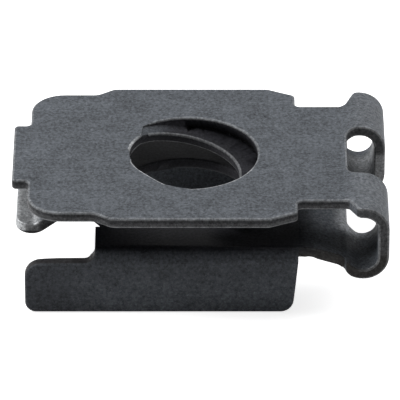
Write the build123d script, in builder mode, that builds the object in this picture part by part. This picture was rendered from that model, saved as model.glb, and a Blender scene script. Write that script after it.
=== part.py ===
"""U clip speed nut: one strip of spring steel, blanked, pressed and folded onto itself.

X runs along the clip, from the open end to the folded end.  Y runs across it.  Z is up.
The origin is on the screw axis, on the face of the bottom leaf that the panel lies on.
All sizes are in millimetres.
"""

import os
from math import cos, pi, radians, sin, tan

from build123d import *

# ---- driving dimensions ----------------------------------------------------------------

# sheet and fold
sheet = 0.5                     # thickness of the strip
panel_gap = 1.6                 # room between the two leaves for the panel

# top leaf, seen from above: widths across the clip, places along it
leaf_width = 11.6               # widest part, around the screw
end_width = 10.55               # slightly narrower open end
tab_width = 4.9                 # tab that stands out of the open end
neck_width = 8.4                # strip that runs into the fold
tab_tip_x = -7.75
shoulder_x = -7.0
jog_start_x = -4.0              # where the narrower end starts to widen
jog_end_x = -3.25
bevel_start_x = 3.8             # where the wide part starts to taper
neck_start_x = 5.05
bevel_depth = 0.6               # how much each side tapers before it steps in to the neck
shoulder_radius = 1.5
tab_corner_radius = 0.2
tab_root_radius = 0.25
jog_radius = 0.6
bevel_radius = 0.6
neck_corner_radius = 0.2
neck_root_radius = 0.25

# folded end, side view: a loop that stands above the top leaf and hangs below the bottom one
loop_end_x = 9.15               # outermost point of the fold
loop_rise = 0.17                # how far the loop stands above the top leaf
loop_rise_start_x = 7.1         # where the top neck starts to rise
loop_top_x = 7.7                # where the rise ends
loop_fall_start_x = 5.6         # where the bottom neck starts to fall
loop_step_x = 7.0               # where it starts to fall more steeply
loop_step_drop = 0.44           # its fall up to there
loop_fall_angle = 31.0          # slope of the steeper stretch, in degrees
loop_inner_radius = 0.65        # inside radius of the loop's two corners
loop_bend_radius = 0.9          # centre-line radius of the gentle bends into the loop
fall_bend_radius = 3.0          # centre-line radius where the bottom neck starts to fall

# folded end, seen from above: an ear on each side and a window between them
ear_width = 10.5                # across both ears
top_ear_start_x = 7.3           # where the top neck starts to flare into the ears
top_ear_full_x = 7.75           # where the ears reach their full width
bottom_neck_width = 9.5         # strip that runs from the fold to the bottom leaf
bottom_ear_start_x = 7.1        # where the bottom neck starts to flare into the ears
bottom_ear_full_x = 7.3
ear_root_radius = 0.35
ear_corner_radius = 0.3
window_width = 4.0
window_start_x = 7.35
window_corner_radius = 0.6

# bottom leaf and its two side flanges
flange_span = 10.4              # across the outer faces of the flanges
flange_depth = 3.16             # from the panel face down to the edges the clip stands on
flange_inner_radius = 0.15      # inside radius of the fold along each flange
leaf_start_x = -4.0             # open end of the bottom leaf and root of the tongues
flange_top_end_x = 5.1          # folded end of a flange, at the leaf
flange_bottom_end_x = 4.85      # folded end of a flange, at its lower edge
flange_corner_radius = 0.6
tongue_tip_x = -7.15            # free end of the tongues
tongue_clearance = 0.1          # between the underside of the leaf and the top of a tongue
tongue_tip_radius = 0.75
tongue_corner_radius = 0.5
tongue_root_radius = 0.5

# sprung finger of the bottom leaf: rises to a crest, falls to a foot and ends in a flat tip
finger_width = 5.4
finger_relief = 0.22            # slot on each side of the finger's root
finger_slot_end_x = -3.6        # closed end of those slots
finger_root_x = -3.35           # where the finger starts to rise
finger_crest_x = -4.78
finger_crest_height = 1.32      # rise of the crest's centre line above the leaf's
finger_foot_x = -6.72           # where it meets its flat tip
finger_foot_drop = 0.12         # fall of the foot's centre line below the leaf's
finger_tip_x = -7.6
finger_tip_lift = 0.17          # rise of the tip above the foot
finger_bend_radius = 0.65       # centre-line radius of its bends
finger_tip_radius = 0.55

# screw
screw_hole_radius = 3.0         # plain hole in the bottom leaf
thread_root_radius = 2.5        # inner edge of the pressed thread
thread_outer_radius = 3.15      # edge of the leaf around the pressed thread
thread_offset = 0.17            # that edge's centre lies this far towards the fold
thread_fall = 1.09              # how far the pressed strip falls in all
thread_start_angle = 143.0      # where its inner edge leaves the leaf, anticlockwise from +X
thread_level_angle = -10.0      # where it has finished falling
thread_end_angle = -62.0        # free end of the strip
thread_lag = 19.0               # angle by which the outer edge falls later than the inner one
thread_lap = 0.4                # how far the strip reaches under the leaf around it
rim_split_angle = 131.0         # where the strip's outer edge parts from the leaf
rim_blend_start = 222.0         # where the leaf's edge leaves the thread's inner edge
rim_blend_end = 275.0           # where it reaches the outer edge

# ---- dependent sizes --------------------------------------------------------------------

half_sheet = sheet / 2
leaf_underside = -sheet
top_middle = panel_gap + half_sheet
bottom_middle = -half_sheet
loop_middle_radius = loop_inner_radius + half_sheet
loop_middle_x = loop_end_x - half_sheet
loop_joint_x = loop_rise_start_x - loop_bend_radius
loop_step_z = bottom_middle - loop_step_drop
loop_corner_z = loop_step_z - (loop_middle_x - loop_step_x) * tan(radians(loop_fall_angle))
bottom_neck_start_x = flange_top_end_x - half_sheet
flange_middle_y = flange_span / 2 - half_sheet
finger_foot_z = bottom_middle - finger_foot_drop
flat_half_width = flange_span / 2 - sheet - flange_inner_radius
tongue_top = leaf_underside - tongue_clearance
strip_outer_radius = thread_outer_radius + thread_offset + thread_lap
strip_width = strip_outer_radius - thread_root_radius
strip_middle_radius = thread_root_radius + strip_width / 2
strip_steps = 16                # sections that the pressed strip is drawn through
clear_of_all = 4 * (loop_end_x - tab_tip_x)


def strip_depth(angle):
    """Fall of the thread below the leaf at this angle: quick at first, then easing off to level."""
    progress = (thread_start_angle - angle) / (thread_start_angle - thread_level_angle)
    return thread_fall * sin(pi / 2 * min(max(progress, 0), 1))


# ---- the folded strip -------------------------------------------------------------------

# Top leaf: half its outline, from the tab to the neck, mirrored across the clip.
with BuildPart() as top_leaf:
    with BuildSketch(Plane.XY.offset(panel_gap)):
        with BuildLine():
            FilletPolyline(
                (tab_tip_x, 0),
                (tab_tip_x, tab_width / 2),
                (shoulder_x, tab_width / 2),
                (shoulder_x, end_width / 2),
                (jog_start_x, end_width / 2),
                (jog_end_x, leaf_width / 2),
                (bevel_start_x, leaf_width / 2),
                (neck_start_x, leaf_width / 2 - bevel_depth),
                (neck_start_x, neck_width / 2),
                (loop_joint_x, neck_width / 2),
                radius=[
                    tab_corner_radius,
                    tab_root_radius,
                    shoulder_radius,
                    jog_radius,
                    jog_radius,
                    bevel_radius,
                    neck_corner_radius,
                    neck_root_radius,
                ],
            )
            Line((loop_joint_x, neck_width / 2), (loop_joint_x, 0))
            mirror(about=Plane.XZ)
        make_face()
    extrude(amount=sheet)

# Plan of the folded end: half of each neck with its ear, mirrored across the clip.  The upper
# half of the loop follows the top neck and the lower half follows the bottom neck.
with BuildPart() as loop_plan:
    with BuildSketch(Plane.XY.offset(panel_gap / 2)):
        with BuildLine():
            FilletPolyline(
                (bevel_start_x, 0),
                (bevel_start_x, neck_width / 2),
                (top_ear_start_x, neck_width / 2),
                (top_ear_full_x, ear_width / 2),
                (loop_end_x + sheet, ear_width / 2),
                (loop_end_x + sheet, 0),
                radius=[0, ear_root_radius, ear_corner_radius, 0],
            )
            mirror(about=Plane.XZ)
        make_face()
    extrude(amount=clear_of_all)
    with BuildSketch(Plane.XY.offset(panel_gap / 2)):
        with BuildLine():
            FilletPolyline(
                (bottom_neck_start_x, 0),
                (bottom_neck_start_x, bottom_neck_width / 2),
                (bottom_ear_start_x, bottom_neck_width / 2),
                (bottom_ear_full_x, ear_width / 2),
                (loop_end_x + sheet, ear_width / 2),
                (loop_end_x + sheet, 0),
                radius=[0, ear_root_radius, ear_corner_radius, 0],
            )
            mirror(about=Plane.XZ)
        make_face()
    extrude(amount=-clear_of_all)

# Loop: its side view, given the sheet's thickness, carried across the clip, trimmed to its
# plan and cut open by the window.
with BuildPart() as loop:
    with BuildSketch(Plane.XZ):
        with BuildLine():
            FilletPolyline(
                (loop_joint_x, top_middle),
                (loop_rise_start_x, top_middle),
                (loop_top_x, top_middle + loop_rise),
                (loop_middle_x, top_middle + loop_rise),
                (loop_middle_x, loop_corner_z),
                (loop_step_x, loop_step_z),
                (loop_fall_start_x, bottom_middle),
                (bevel_start_x, bottom_middle),
                radius=[
                    loop_bend_radius,
                    loop_bend_radius,
                    loop_middle_radius,
                    loop_middle_radius,
                    loop_bend_radius,
                    fall_bend_radius,
                ],
            )
        trace(line_width=sheet)
    extrude(amount=ear_width, both=True)
    add(loop_plan.part, mode=Mode.INTERSECT)
    with BuildSketch():
        with Locations((window_start_x + clear_of_all / 2, 0)):
            RectangleRounded(clear_of_all, window_width, window_corner_radius)
    extrude(amount=clear_of_all, both=True, mode=Mode.SUBTRACT)

# Channel: the bottom leaf with a flange down each side, trimmed to the flanges' side view.
# The flat of the leaf stops short of the tongues, and further in beside the finger.
with BuildPart() as channel:
    with BuildSketch(Plane.YZ.offset(tongue_tip_x)):
        with BuildLine():
            FilletPolyline(
                (-flange_middle_y, -flange_depth),
                (-flange_middle_y, bottom_middle),
                (flange_middle_y, bottom_middle),
                (flange_middle_y, -flange_depth),
                radius=flange_inner_radius + half_sheet,
            )
        trace(line_width=sheet)
    extrude(amount=flange_top_end_x - tongue_tip_x)
    with BuildSketch(Plane.XZ):
        with BuildLine():
            FilletPolyline(
                (flange_top_end_x, sheet),
                (flange_top_end_x, leaf_underside),
                (flange_bottom_end_x, -flange_depth),
                (tongue_tip_x, -flange_depth),
                (tongue_tip_x, tongue_top),
                (leaf_start_x, tongue_top),
                (leaf_start_x, sheet),
                radius=[
                    0,
                    flange_corner_radius,
                    tongue_corner_radius,
                    tongue_tip_radius,
                    tongue_root_radius,
                ],
            )
            Line((leaf_start_x, sheet), (flange_top_end_x, sheet))
        make_face()
    extrude(amount=clear_of_all, both=True, mode=Mode.INTERSECT)
    with BuildSketch():
        with Locations((leaf_start_x - clear_of_all / 2, 0)):
            Rectangle(clear_of_all, 2 * flat_half_width)
        with Locations((finger_slot_end_x - clear_of_all / 2, 0)):
            RectangleRounded(clear_of_all, finger_width + 2 * finger_relief, finger_relief / 2)
    extrude(amount=clear_of_all, both=True, mode=Mode.SUBTRACT)

# Finger: its side view, given the sheet's thickness and trimmed to its width and tip.
with BuildPart() as finger:
    with BuildSketch(Plane.XZ):
        with BuildLine():
            FilletPolyline(
                (0, bottom_middle),
                (finger_root_x, bottom_middle),
                (finger_crest_x, bottom_middle + finger_crest_height),
                (finger_foot_x, finger_foot_z),
                (finger_tip_x, finger_foot_z + finger_tip_lift),
                radius=finger_bend_radius,
            )
        trace(line_width=sheet)
    extrude(amount=finger_width / 2, both=True)
    with BuildSketch():
        with Locations((finger_tip_x + clear_of_all / 2, 0)):
            RectangleRounded(clear_of_all, finger_width, finger_tip_radius)
    extrude(amount=clear_of_all, both=True, mode=Mode.INTERSECT)

# Thread: a strip of the leaf around the screw, pressed down.  Its sections stand upright and
# point at the screw axis, and each is tilted so that the outer edge falls later.
with BuildPart() as thread_strip:
    for step in range(strip_steps + 1):
        angle = thread_start_angle + (thread_end_angle - thread_start_angle) * step / strip_steps
        inner_z = top_middle - strip_depth(angle)
        outer_z = top_middle - strip_depth(angle + thread_lag)
        outward = Vector(cos(radians(angle)), sin(radians(angle)), 0)
        middle = outward * strip_middle_radius + Vector(0, 0, (inner_z + outer_z) / 2)
        slope = outward + Vector(0, 0, (outer_z - inner_z) / strip_width)
        around = Vector(0, 0, 1).cross(outward)
        with BuildSketch(Plane(middle, x_dir=slope, z_dir=around)):
            Rectangle(strip_width, sheet)
    loft()

# The whole strip.  Both holes are cut before the pieces that reach over them are added.
with BuildPart() as u_clip_body:
    add(channel.part)
    add(finger.part)
    with BuildSketch(Plane.XY.offset(leaf_underside)):
        Circle(screw_hole_radius)
    extrude(amount=2 * sheet, mode=Mode.SUBTRACT)
    add(top_leaf.part)
    with BuildSketch(Plane.XY.offset(panel_gap)):
        with BuildLine():
            inner_rim = CenterArc(
                (0, 0), thread_root_radius, thread_start_angle, rim_blend_start - thread_start_angle
            )
            outer_rim = CenterArc(
                (thread_offset, 0),
                thread_outer_radius,
                rim_blend_end,
                rim_split_angle + 360 - rim_blend_end,
            )
            Spline(inner_rim @ 1, outer_rim @ 0, tangents=(inner_rim % 1, outer_rim % 0))
            Line(outer_rim @ 1, inner_rim @ 0)
        make_face()
    extrude(amount=sheet, mode=Mode.SUBTRACT)
    add(thread_strip.part)
    add(loop.part)

u_clip_body.part.label = "u_clip_body"
os.makedirs("parts", exist_ok=True)
export_step(u_clip_body.part, "parts/u_clip_body.step")
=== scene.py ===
"""Dresses the u clip speed nut: rounded sheared edges, phosphated steel, a plain studio.

X runs along the clip towards the fold, Y across it and Z up.  The clip is modelled in
millimetres here and put into the scene in metres.
"""

import logging
import math
from dataclasses import dataclass, field
from enum import Enum

import bmesh
import bpy
import numpy as np
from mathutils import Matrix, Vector
from mathutils.bvhtree import BVHTree
from mathutils.kdtree import KDTree


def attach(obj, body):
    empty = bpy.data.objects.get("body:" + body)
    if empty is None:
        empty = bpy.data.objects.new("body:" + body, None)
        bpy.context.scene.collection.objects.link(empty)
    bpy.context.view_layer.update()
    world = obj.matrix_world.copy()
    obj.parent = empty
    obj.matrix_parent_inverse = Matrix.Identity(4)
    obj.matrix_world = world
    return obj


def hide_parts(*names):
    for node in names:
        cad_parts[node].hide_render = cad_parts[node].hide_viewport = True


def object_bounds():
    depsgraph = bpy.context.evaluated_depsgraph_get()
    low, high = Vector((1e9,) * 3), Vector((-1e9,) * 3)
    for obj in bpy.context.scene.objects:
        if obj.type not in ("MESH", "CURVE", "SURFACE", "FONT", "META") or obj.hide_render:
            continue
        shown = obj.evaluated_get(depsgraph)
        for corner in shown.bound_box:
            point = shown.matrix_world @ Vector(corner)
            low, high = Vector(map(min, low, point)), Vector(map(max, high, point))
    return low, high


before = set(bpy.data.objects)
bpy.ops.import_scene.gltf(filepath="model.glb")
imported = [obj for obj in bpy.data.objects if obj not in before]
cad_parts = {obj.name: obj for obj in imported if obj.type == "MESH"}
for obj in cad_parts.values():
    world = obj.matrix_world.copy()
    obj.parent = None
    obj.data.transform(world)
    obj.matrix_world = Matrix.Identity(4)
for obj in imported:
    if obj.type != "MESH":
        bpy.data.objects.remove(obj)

CAD_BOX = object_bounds()
MM = 0.001
log = logging.getLogger("u_clip")

Rgb = tuple[float, float, float]


class Face(Enum):
    """What a face of the blanked strip is."""

    ROLLED = 0.0
    SHEARED = 1.0


# ---- node helpers -----------------------------------------------------------------------


class Graph:
    """Short calls for wiring one node tree."""

    def __init__(self, tree: bpy.types.NodeTree) -> None:
        """Args:
            tree: the node tree to add to.
        """
        self.tree = tree

    def add(self, kind: str, **values: object) -> bpy.types.Node:
        """Adds a node and sets its properties.

        Args:
            kind: the node's type name.
            values: properties of the node.

        Returns:
            The new node.
        """
        node = self.tree.nodes.new(kind)
        for name, value in values.items():
            setattr(node, name, value)
        return node

    def put(self, socket: bpy.types.NodeSocket, value: object) -> None:
        """Links a socket's source, or sets its number or colour.

        Args:
            socket: the input to fill.
            value: an output socket, a number or a tuple.
        """
        if isinstance(value, bpy.types.NodeSocket):
            self.tree.links.new(value, socket)
        else:
            socket.default_value = value

    def maths(self, operation: str, *values: object) -> bpy.types.NodeSocket:
        """Adds a Math node.

        Args:
            operation: the node's operation.
            values: its inputs, as sockets or numbers.

        Returns:
            The result.
        """
        node = self.add("ShaderNodeMath", operation=operation)
        for socket, value in zip(node.inputs, values):
            self.put(socket, value)
        return node.outputs[0]

    def between(self, value: object, low: float, high: float) -> bpy.types.NodeSocket:
        """Turns a value into a smooth mask from 0 at low to 1 at high.

        Args:
            value: the value to read.
            low: where the mask is 0.
            high: where the mask is 1.

        Returns:
            The mask.
        """
        node = self.add("ShaderNodeMapRange", interpolation_type="SMOOTHSTEP")
        for socket, number in zip(node.inputs, (value, low, high, 0.0, 1.0)):
            self.put(socket, number)
        return node.outputs[0]

    def noise(self, vector: object, scale: float, detail: float, roughness: float) -> bpy.types.NodeSocket:
        """Adds a 3-D noise texture.

        Args:
            vector: where to sample it.
            scale: its frequency, per unit of the vector.
            detail: its octaves.
            roughness: how strongly the finer octaves count.

        Returns:
            The noise value, about 0.5 on average.
        """
        node = self.add("ShaderNodeTexNoise")
        self.put(node.inputs["Vector"], vector)
        node.inputs["Scale"].default_value = scale
        node.inputs["Detail"].default_value = detail
        node.inputs["Roughness"].default_value = roughness
        return node.outputs["Fac"]

    def stretch(self, vector: object, scale: Rgb) -> bpy.types.NodeSocket:
        """Scales a vector with a Mapping node.

        Args:
            vector: the vector to scale.
            scale: the three factors.

        Returns:
            The scaled vector.
        """
        node = self.add("ShaderNodeMapping")
        self.put(node.inputs["Vector"], vector)
        node.inputs["Scale"].default_value = scale
        return node.outputs[0]

    def blend(self, factor: object, first: object, second: object, kind: str = "MIX") -> bpy.types.NodeSocket:
        """Mixes two colours.

        Args:
            factor: 0 gives the first colour and 1 the second.
            first: a colour.
            second: a colour.
            kind: the blend type.

        Returns:
            The mixed colour.
        """
        node = self.add("ShaderNodeMix", data_type="RGBA", blend_type=kind)
        self.put(node.inputs[0], factor)
        self.put(node.inputs[6], first)
        self.put(node.inputs[7], second)
        return node.outputs[2]


def new_group(name: str, inputs: dict[str, float], outputs: tuple[str, ...]) -> bpy.types.NodeTree:
    """Makes an empty shader group with a vector input, number inputs and number outputs.

    Args:
        name: the group's name.
        inputs: number inputs and their usual values.
        outputs: number outputs.

    Returns:
        The group's tree.
    """
    tree = bpy.data.node_groups.new(name, "ShaderNodeTree")
    tree.interface.new_socket("Vector", in_out="INPUT", socket_type="NodeSocketVector")
    for title, value in inputs.items():
        socket = tree.interface.new_socket(title, in_out="INPUT", socket_type="NodeSocketFloat")
        socket.default_value = value
    for title in outputs:
        tree.interface.new_socket(title, in_out="OUTPUT", socket_type="NodeSocketFloat")
    return tree


# ---- finishes ---------------------------------------------------------------------------


@dataclass(frozen=True)
class PhosphateSkin:
    """Shared effect: the mottled, faintly streaked look of phosphated rolled strip."""

    crystal_scale: float = 7.0
    cloud_scale: float = 0.8
    streak_scale: Rgb = (0.22, 5.0, 5.0)
    speck_scale: float = 11.0
    speck_limits: tuple[float, float] = (0.58, 0.72)

    def group(self) -> bpy.types.NodeTree:
        """Builds the group: shade multiplies a colour, height feeds a bump.

        Returns:
            The group's tree.
        """
        inputs = {"Crystal": 2.9, "Cloud": 1.1, "Streak": 0.5, "Speck": 0.5}
        tree = new_group("phosphate_skin", inputs, ("Shade", "Height", "Gloss"))
        graph = Graph(tree)
        given = graph.add("NodeGroupInput").outputs
        crystal = graph.noise(given["Vector"], self.crystal_scale, 4.0, 0.7)
        cloud = graph.noise(given["Vector"], self.cloud_scale, 4.0, 0.6)
        streak = graph.noise(graph.stretch(given["Vector"], self.streak_scale), 1.0, 4.0, 0.65)
        speck = graph.between(graph.noise(given["Vector"], self.speck_scale, 1.0, 0.5), *self.speck_limits)
        shade = graph.maths("MULTIPLY", speck, given["Speck"])
        for value, amount in ((crystal, "Crystal"), (cloud, "Cloud"), (streak, "Streak")):
            centred = graph.maths("SUBTRACT", value, 0.5)
            shade = graph.maths("MULTIPLY_ADD", centred, given[amount], shade)
        out = graph.add("NodeGroupOutput")
        graph.put(out.inputs["Shade"], graph.maths("ADD", shade, 1.0))
        graph.put(out.inputs["Height"], graph.maths("MULTIPLY_ADD", streak, 0.6, crystal))
        graph.put(out.inputs["Gloss"], cloud)
        return tree


@dataclass(frozen=True)
class SpringSteel:
    """Dark phosphated spring steel, with sheared edges of a duller, browner tone, and painted light and shade."""

    skin_colour: Rgb = (0.101, 0.110, 0.123)
    burnished_colour: Rgb = (0.042, 0.043, 0.046)
    fracture_colour: Rgb = (0.085, 0.086, 0.090)
    # painted shade: sheared faces are darker low down on the clip
    low_cut_shade_colour: Rgb = (0.040, 0.038, 0.037)
    # painted light on the finger's tip, the thread's lip, the rims and the loop's floor
    painted_light_colour: Rgb = (0.420, 0.430, 0.440)
    # painted shade in the screw hole, between the leaves and at the flange folds
    painted_shade_colour: Rgb = (0.022, 0.022, 0.026)
    roughness: float = 0.55
    metallic: float = 0.60
    specular: float = 0.09
    grain_depth: float = 0.000012
    # strengths of the painted light on the tip and the loop's floor, of a slight lightening of the loop's crown, and of
    # the painted shade at the flange folds and tongues
    tip_light: float = 0.9
    floor_light: float = 0.45
    crown_lightening: float = 0.10
    fold_shade: float = 0.5

    def painted_shade(
        self,
        graph: Graph,
        along: bpy.types.Node,
        sheared: bpy.types.NodeSocket,
        leaf_top: float,
    ) -> bpy.types.NodeSocket:
        """Masks the painted shade: down in the screw hole, between the leaves, at the flange folds and on the tongues.

        It is the greater of a disc round the screw axis below the upper leaf's top face, a slab between the leaves and
        a weaker band at the flange folds and on the tongues; each has soft limits.

        Args:
            graph: the material's nodes.
            along: the place on the clip in millimetres, as separate numbers.
            leaf_top: height of the upper leaf's top face, in millimetres.

        Returns:
            The mask.
        """
        x, y, z = along.outputs
        # Painted shade in the screw hole, below the upper leaf's top face.
        span = graph.maths("SQRT", graph.maths("MULTIPLY_ADD", x, x, graph.maths("MULTIPLY", y, y)))
        shaded = graph.maths("MAXIMUM", graph.between(z, 1.0, 0.8), graph.between(x, 2.6, 0.4))
        fallen = graph.between(z, leaf_top - 0.03, leaf_top - 0.45)
        cut_down = graph.maths("MULTIPLY", sheared, graph.between(z, leaf_top - 0.03, leaf_top - 0.14))
        below = graph.maths("MAXIMUM", graph.maths("MULTIPLY", shaded, fallen), cut_down)
        hole = graph.maths("MULTIPLY", below, graph.between(span, 3.62, 3.48))
        # Painted shade on a slab between the leaves.
        slab = graph.between(graph.maths("ABSOLUTE", y), 5.15, 4.75)
        for value, low, high in ((x, 6.2, 4.6), (x, -6.3, -5.2), (z, -0.45, -0.25), (z, leaf_top - 0.45, leaf_top - 0.6)):
            slab = graph.maths("MULTIPLY", slab, graph.between(value, low, high))
        # Weaker painted shade where the flanges fold down and on the tongues.
        fold = graph.between(graph.maths("ABSOLUTE", y), 4.6, 5.0)
        for value, low, high in ((z, -2.6, -0.3), (z, 1.2, 0.6), (x, 5.6, 4.6)):
            fold = graph.maths("MULTIPLY", fold, graph.between(value, low, high))
        fold = graph.maths("MAXIMUM", fold, graph.maths("MULTIPLY", graph.between(x, -3.0, -6.0), graph.between(z, -0.2, -0.5)))
        return graph.maths("MAXIMUM", graph.maths("MAXIMUM", hole, slab), graph.maths("MULTIPLY", fold, self.fold_shade))

    def painted_light(
        self,
        graph: Graph,
        along: bpy.types.Node,
        wander: bpy.types.NodeSocket,
        rounded: bpy.types.NodeSocket,
    ) -> bpy.types.NodeSocket:
        """Masks the painted light on the finger's tip, the thread's lip, the rims and the loop's floor, and makes the
        loop's crown a little lighter.

        Args:
            graph: the material's nodes.
            along: the place on the clip in millimetres, as separate numbers.
            wander: a noise value that makes the limits ragged.
            rounded: 1 on the rounded rims.

        Returns:
            The mask.
        """
        x, y, z = along.outputs
        reach = graph.maths("MULTIPLY_ADD", wander, 0.5, x)
        # Painted light on the finger's tip.
        tip = graph.between(reach, -6.0, -6.6)
        for value, low, high in ((z, 1.45, 1.25), (z, -0.45, -0.35), (graph.maths("ABSOLUTE", y), 2.75, 2.65)):
            tip = graph.maths("MULTIPLY", tip, graph.between(value, low, high))
        # Painted highlight on the thread's lip and on all rounded rims, stronger higher up.
        lip = graph.between(graph.maths("MULTIPLY_ADD", x, 0.5, y), 0.6, -0.4)
        span = graph.maths("SQRT", graph.maths("MULTIPLY_ADD", x, x, graph.maths("MULTIPLY", y, y)))
        lip = graph.maths("MULTIPLY", lip, graph.between(span, 3.6, 3.4))
        high = graph.maths("MAXIMUM", graph.between(z, 0.3, 1.0), graph.between(x, 7.5, 8.2))
        rim_highlight_level = graph.maths("MULTIPLY_ADD", lip, 0.5, graph.maths("MULTIPLY_ADD", high, 0.22, 0.03))
        rim = graph.maths("MULTIPLY", rounded, rim_highlight_level)
        # Painted light on the loop's floor; the loop's crown is only made a little lighter.
        floor = graph.between(reach, 6.8, 7.4)
        for value, low, high in ((y, -2.9, -2.0), (y, 4.9, 4.3), (z, 1.0, 0.6)):
            floor = graph.maths("MULTIPLY", floor, graph.between(value, low, high))
        crown = graph.maths("MULTIPLY", graph.between(x, 7.0, 8.4), graph.between(z, 1.6, 2.0))
        floor_and_crown_lightening = graph.maths("MULTIPLY", floor, self.floor_light)
        floor_and_crown_lightening = graph.maths("MAXIMUM", floor_and_crown_lightening, graph.maths("MULTIPLY", crown, self.crown_lightening))
        tip_and_rim_light = graph.maths("MAXIMUM", graph.maths("MULTIPLY", tip, self.tip_light), rim)
        return graph.maths("MAXIMUM", tip_and_rim_light, floor_and_crown_lightening)

    def material(self, leaf_top: float, sheet: float) -> bpy.types.Material:
        """Builds the steel's material.

        Args:
            leaf_top: height of the upper leaf's top face, in millimetres.
            sheet: thickness of the strip, in millimetres.

        Returns:
            The material.
        """
        material = bpy.data.materials.new("phosphated_spring_steel")
        material.use_nodes = True
        graph = Graph(material.node_tree)
        shader = material.node_tree.nodes["Principled BSDF"]
        place = graph.add("ShaderNodeTexCoord").outputs["Object"]
        millimetres = graph.stretch(place, (1 / MM, 1 / MM, 1 / MM))
        skin = graph.add("ShaderNodeGroup", node_tree=PhosphateSkin().group())
        graph.put(skin.inputs["Vector"], millimetres)
        sheared = graph.add("ShaderNodeAttribute", attribute_name="sheared").outputs["Fac"]
        rounded = graph.add("ShaderNodeAttribute", attribute_name="rounded").outputs["Fac"]
        along = graph.add("ShaderNodeSeparateXYZ")
        graph.put(along.inputs[0], millimetres)
        wander = graph.noise(millimetres, 2.5, 3.0, 0.6)
        ragged = graph.maths("MULTIPLY_ADD", wander, 0.25, along.outputs["Z"])
        middle = leaf_top - sheet / 2 + 0.125
        burnished = graph.between(ragged, middle - 0.05, middle + 0.05)
        cut = graph.blend(burnished, (*self.fracture_colour, 1.0), (*self.burnished_colour, 1.0))
        # Painted shade: sheared faces are darker towards the bottom of the clip.
        low = graph.between(along.outputs["Z"], 0.2, -0.4)
        cut = graph.blend(low, cut, (*self.low_cut_shade_colour, 1.0))
        colour = graph.blend(sheared, (*self.skin_colour, 1.0), cut)
        # Painted shade in the screw hole, between the leaves and at the flange folds.
        painted_shade = self.painted_shade(graph, along, sheared, leaf_top)
        colour = graph.blend(painted_shade, colour, (*self.painted_shade_colour, 1.0))
        # Painted light on the tip, the thread's lip, the rims and the loop's floor; these places are made metallic too,
        # so they reflect the white surround.
        painted_light = self.painted_light(graph, along, wander, rounded)
        colour = graph.blend(painted_light, colour, (*self.painted_light_colour, 1.0))
        shade = graph.add("ShaderNodeCombineColor")
        for socket in shade.inputs:
            graph.put(socket, skin.outputs["Shade"])
        graph.put(shader.inputs["Base Color"], graph.blend(1.0, colour, shade.outputs[0], "MULTIPLY"))
        rough = graph.maths("MULTIPLY_ADD", skin.outputs["Gloss"], 0.3, self.roughness - 0.15)
        graph.put(shader.inputs["Roughness"], rough)
        graph.put(shader.inputs["Metallic"], graph.maths("MULTIPLY", painted_light, self.metallic))
        shader.inputs["Specular IOR Level"].default_value = self.specular
        bump = graph.add("ShaderNodeBump")
        bump.inputs["Strength"].default_value = 0.5
        bump.inputs["Distance"].default_value = self.grain_depth
        graph.put(bump.inputs["Height"], skin.outputs["Height"])
        graph.put(shader.inputs["Normal"], bump.outputs[0])
        return material


# ---- the clip ---------------------------------------------------------------------------


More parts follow.
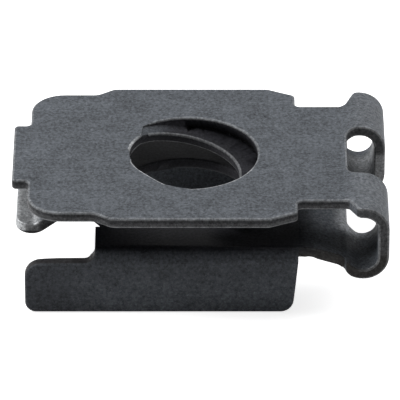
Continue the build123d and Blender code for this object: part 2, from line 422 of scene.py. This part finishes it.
@dataclass
class FoldedStrip:
    """The clip itself: one blanked and folded strip with rounded sheared edges."""

    node: str = "u_clip_body"
    sheet: float = 0.5
    leaf_top: float = 2.1
    roll_radius: float = 0.10
    tries: int = 4
    lap_radii: tuple[float, float] = (2.95, 4.3)
    lap_heights: tuple[float, float] = (0.3, 2.0)
    smallest_face: float = 1e-7
    sharp_angle: float = 28.0
    flat_angle: float = 0.6
    weld: float = 1e-4
    steel: SpringSteel = field(default_factory=SpringSteel)

    def welded(self) -> tuple[np.ndarray, np.ndarray]:
        """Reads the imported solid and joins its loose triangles.

        Returns:
            Points in millimetres, and triangles as rows of three point numbers.
        """
        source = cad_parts[self.node].data
        source.calc_loop_triangles()
        points = np.empty(3 * len(source.vertices))
        corners = np.empty(3 * len(source.loop_triangles), dtype=np.int32)
        source.vertices.foreach_get("co", points)
        source.loop_triangles.foreach_get("vertices", corners)
        points = points.reshape(-1, 3) / MM
        _, first, same = np.unique(np.round(points / self.weld), axis=0, return_index=True, return_inverse=True)
        triangles = same.reshape(-1)[corners].reshape(-1, 3)
        whole = (triangles != np.roll(triangles, 1, axis=1)).all(axis=1)
        return points[first], triangles[whole]

    def shell(self, points: np.ndarray, triangles: np.ndarray) -> bmesh.types.BMesh:
        """Makes the strip's closed shell of triangles, facing outwards.

        Args:
            points: the welded points, in millimetres.
            triangles: the welded triangles.

        Returns:
            The shell.
        """
        raw = bpy.data.meshes.new("strip")
        raw.from_pydata(points.tolist(), [], triangles.tolist())
        strip = bmesh.new()
        strip.from_mesh(raw)
        bpy.data.meshes.remove(raw)
        bmesh.ops.recalc_face_normals(strip, faces=strip.faces)
        return strip

    def crowded(self, edge: bmesh.types.BMEdge, cramped: KDTree) -> bool:
        """Tells whether an edge passes close to a place that has no room for rounding.

        Args:
            edge: the edge to try, sampled at even steps along it.
            cramped: the places without room.

        Returns:
            True if any sample is near such a place.
        """
        reach = 2 * self.roll_radius
        start, end = (corner.co for corner in edge.verts)
        steps = 2 + int(edge.calc_length() / reach)
        nearest = (cramped.find(start.lerp(end, step / steps))[2] for step in range(steps + 1))
        return min(nearest) < reach

    def under_rim(self, edge: bmesh.types.BMEdge) -> bool:
        """Tells whether an edge lies where the pressed thread runs against and under the leaf."""
        middle = (edge.verts[0].co + edge.verts[1].co) / 2
        inner, outer = self.lap_radii
        low, high = self.lap_heights
        return inner < math.hypot(middle.x, middle.y) < outer and low < middle.z < high

    def misfits(self, strip: bmesh.types.BMesh, surface: BVHTree) -> list[Vector]:
        """Finds where a rounded strip stands off the plain one or has turned inside out.

        Args:
            strip: the rounded strip.
            surface: the plain strip.

        Returns:
            Places on the plain strip.
        """
        off = [surface.find_nearest(corner.co) for corner in strip.verts]
        places = [place for place, _, _, gap in off if gap > 0.9 * self.roll_radius]
        for face in strip.faces:
            if face.calc_area() > self.smallest_face:
                place, normal, _, _ = surface.find_nearest(face.calc_center_median())
                if face.normal.dot(normal) < 0.1:
                    places.append(place)
        return places

    def rounded(self, points: np.ndarray, triangles: np.ndarray) -> bmesh.types.BMesh:
        """Rounds the strip's sharp edges, apart from the few that have no room for it.

        Each try shows where the rounding doesn't fit, and the next leaves the edges there sharp.

        Args:
            points: the welded points, in millimetres.
            triangles: the welded triangles.

        Returns:
            The rounded strip, with a face layer that marks the rounded edges.
        """
        plain = self.shell(points, triangles)
        surface = BVHTree.FromBMesh(plain)
        plain.free()
        places: list[Vector] = []
        limit = math.radians(self.sharp_angle)
        for _ in range(self.tries):
            strip = self.shell(points, triangles)
            bmesh.ops.dissolve_limit(
                strip, angle_limit=math.radians(self.flat_angle), verts=strip.verts, edges=strip.edges
            )
            mark = strip.faces.layers.float.new("rounded")
            sharp = [edge for edge in strip.edges if edge.calc_face_angle(0.0) > limit]
            cramped = KDTree(len(places))
            for number, place in enumerate(places):
                cramped.insert(place, number)
            cramped.balance()
            roomy = [edge for edge in sharp if not self.under_rim(edge)]
            roomy = [edge for edge in roomy if not places or not self.crowded(edge, cramped)]
            made = bmesh.ops.bevel(
                strip, geom=roomy, offset=self.roll_radius, segments=3, profile=0.5, affect="EDGES"
            )
            for face in made["faces"]:
                face[mark] = 1.0
            found = self.misfits(strip, surface)
            log.info("rounded %d of %d sharp edges, %d misfits", len(roomy), len(sharp), len(found))
            if not set(map(tuple, found)) - set(map(tuple, places)):
                break
            places += found
        return strip

    def kinds(self, centres: np.ndarray, normals: np.ndarray) -> np.ndarray:
        """Tells sheared faces from rolled ones by their place and the way they look.

        Args:
            centres: face centres, in millimetres.
            normals: outward face normals.

        Returns:
            One Face value for each face.
        """
        x, y, z = centres.T
        across, up = np.abs(normals[:, 1]), np.abs(normals[:, 2])
        upright = up < 0.5
        sideways = across > 0.5
        flange = (z < -0.02) & (np.abs(y) > 4.4) & (x < 5.2)
        folded_edge = (z > -0.75) & (x > -3.95) & (np.abs(normals[:, 0]) < 0.3)
        loop = x > 5.2
        window = loop & (np.abs(y) < 2.1) & (x < 8.0) & upright
        finger = (x < -3.4) & (z < 1.5) & (np.abs(y) < 2.8)
        sheared = np.where(flange, (across < 0.5) & ~folded_edge, upright)
        sheared = np.where(loop, sideways | window, sheared)
        sheared = np.where(loop & (z > 1.5) & (x < 7.1), upright, sheared)
        sheared = np.where(finger, sideways | (normals[:, 0] < -0.85), sheared)
        return np.where(sheared, Face.SHEARED.value, Face.ROLLED.value)

    def build(self) -> bpy.types.Object:
        """Makes the dressed strip and puts it in place of the plain solid.

        Returns:
            The finished piece.
        """
        strip = self.rounded(*self.welded())
        mesh = bpy.data.meshes.new("u_clip")
        strip.to_mesh(mesh)
        strip.free()
        count = len(mesh.polygons)
        centres, normals = np.empty(3 * count), np.empty(3 * count)
        mesh.polygons.foreach_get("center", centres)
        mesh.polygons.foreach_get("normal", normals)
        kinds = self.kinds(centres.reshape(-1, 3), normals.reshape(-1, 3))
        mesh.attributes.new("sheared", "FLOAT", "FACE").data.foreach_set("value", kinds.astype(np.float32))
        mesh.polygons.foreach_set("use_smooth", np.ones(count, dtype=bool))
        places = np.empty(3 * len(mesh.vertices))
        mesh.vertices.foreach_get("co", places)
        mesh.vertices.foreach_set("co", places * MM)
        mesh.materials.append(self.steel.material(self.leaf_top, self.sheet))
        mesh.update()
        piece = bpy.data.objects.new("u_clip", mesh)
        bpy.context.scene.collection.objects.link(piece)
        weighted = piece.modifiers.new("even_normals", "WEIGHTED_NORMAL")
        weighted.weight = 100
        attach(piece, "root")
        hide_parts(self.node)
        return piece


# ---- the studio -------------------------------------------------------------------------


@dataclass(frozen=True)
class SoftLamp:
    """One rectangular lamp that looks at the clip."""

    name: str
    place: Rgb
    size: tuple[float, float]
    power: float

    def build(self) -> None:
        """Adds the lamp; its place and size are in metres and its power in watts."""
        data = bpy.data.lights.new(self.name, "AREA")
        data.shape = "RECTANGLE"
        data.size, data.size_y = self.size
        data.energy = self.power
        lamp = bpy.data.objects.new(self.name, data)
        lamp.location = self.place
        lamp.rotation_euler = (-Vector(self.place)).to_track_quat("-Z", "Y").to_euler()
        bpy.context.scene.collection.objects.link(lamp)


@dataclass
class Studio:
    """A white floor, a white surround, soft lamps and the camera."""

    lamps: tuple[SoftLamp, ...] = (
        SoftLamp("top_lamp", (0.0, 0.05, 0.20), (0.12, 0.12), 0.08),
        SoftLamp("left_lamp", (-0.15, 0.02, 0.14), (0.09, 0.09), 0.34),
        SoftLamp("right_lamp", (0.16, 0.05, 0.12), (0.09, 0.09), 0.17),
    )
    surround_level: float = 0.03
    floor_colour: Rgb = (0.80, 0.80, 0.80)
    floor_reach: float = 3.0
    elevation: float = 31.0
    aim: Rgb = (0.00070, 0.0, -0.0004)
    distance: float = 0.26
    lens: float = 515.0

    def white_for_the_eye(self, graph: Graph) -> bpy.types.NodeSocket:
        """Returns 1 for camera, glossy and transmitted rays, and 0 for the rest."""
        path = graph.add("ShaderNodeLightPath").outputs
        seen = graph.maths("MAXIMUM", path["Is Camera Ray"], path["Is Glossy Ray"])
        return graph.maths("MAXIMUM", seen, path["Is Transmission Ray"])

    def surround(self) -> None:
        """Makes the world: white where it is seen, and a low even light elsewhere."""
        world = bpy.data.worlds.new("surround")
        world.use_nodes = True
        bpy.context.scene.world = world
        graph = Graph(world.node_tree)
        background = world.node_tree.nodes["Background"]
        seen = self.white_for_the_eye(graph)
        low = self.surround_level
        graph.put(background.inputs["Color"], graph.blend(seen, (low, low, low, 1.0), (1.0, 1.0, 1.0, 1.0)))

    def floor(self) -> bpy.types.Object:
        """Makes the floor under the clip: white where it is seen, apart from the clip's shadow.

        Returns:
            The floor.
        """
        low = CAD_BOX[0]
        reach = self.floor_reach
        corners = [(-reach, -reach, low.z), (reach, -reach, low.z), (reach, reach, low.z), (-reach, reach, low.z)]
        mesh = bpy.data.meshes.new("floor")
        mesh.from_pydata(corners, [], [(0, 1, 2, 3)])
        material = bpy.data.materials.new("floor_paper")
        material.use_nodes = True
        graph = Graph(material.node_tree)
        shader = material.node_tree.nodes["Principled BSDF"]
        seen = self.white_for_the_eye(graph)
        colour = graph.blend(seen, (*self.floor_colour, 1.0), (1.0, 1.0, 1.0, 1.0))
        graph.put(shader.inputs["Base Color"], colour)
        shader.inputs["Roughness"].default_value = 1.0
        shader.inputs["Specular IOR Level"].default_value = 0.0
        glow = graph.maths("MULTIPLY", seen, 0.80)
        shader.inputs["Emission Color"].default_value = (1.0, 1.0, 1.0, 1.0)
        graph.put(shader.inputs["Emission Strength"], glow)
        mesh.materials.append(material)
        floor = bpy.data.objects.new("floor", mesh)
        bpy.context.scene.collection.objects.link(floor)
        return floor

    def camera(self) -> None:
        """Sets the camera: a long lens that looks down at the open side of the clip."""
        data = bpy.data.cameras.new("camera")
        data.lens = self.lens
        data.sensor_width = 36.0
        data.clip_start, data.clip_end = 0.01, 10.0
        slope = math.radians(self.elevation)
        ahead = Vector((0.0, math.cos(slope), -math.sin(slope)))
        camera = bpy.data.objects.new("camera", data)
        camera.location = Vector(self.aim) - ahead * self.distance
        camera.rotation_euler = ahead.to_track_quat("-Z", "Y").to_euler()
        bpy.context.scene.collection.objects.link(camera)
        bpy.context.scene.camera = camera

    def build(self) -> None:
        """Makes the whole studio."""
        self.surround()
        self.floor()
        for lamp in self.lamps:
            lamp.build()
        self.camera()
        bpy.context.scene.view_settings.view_transform = "Standard"


def main() -> None:
    """Builds the clip and the studio."""
    logging.basicConfig(level=logging.INFO, format="%(name)s: %(message)s")
    piece = FoldedStrip().build()
    log.info("%s: %d faces", piece.name, len(piece.data.polygons))
    Studio().build()


if __name__ == "__main__":
    main()
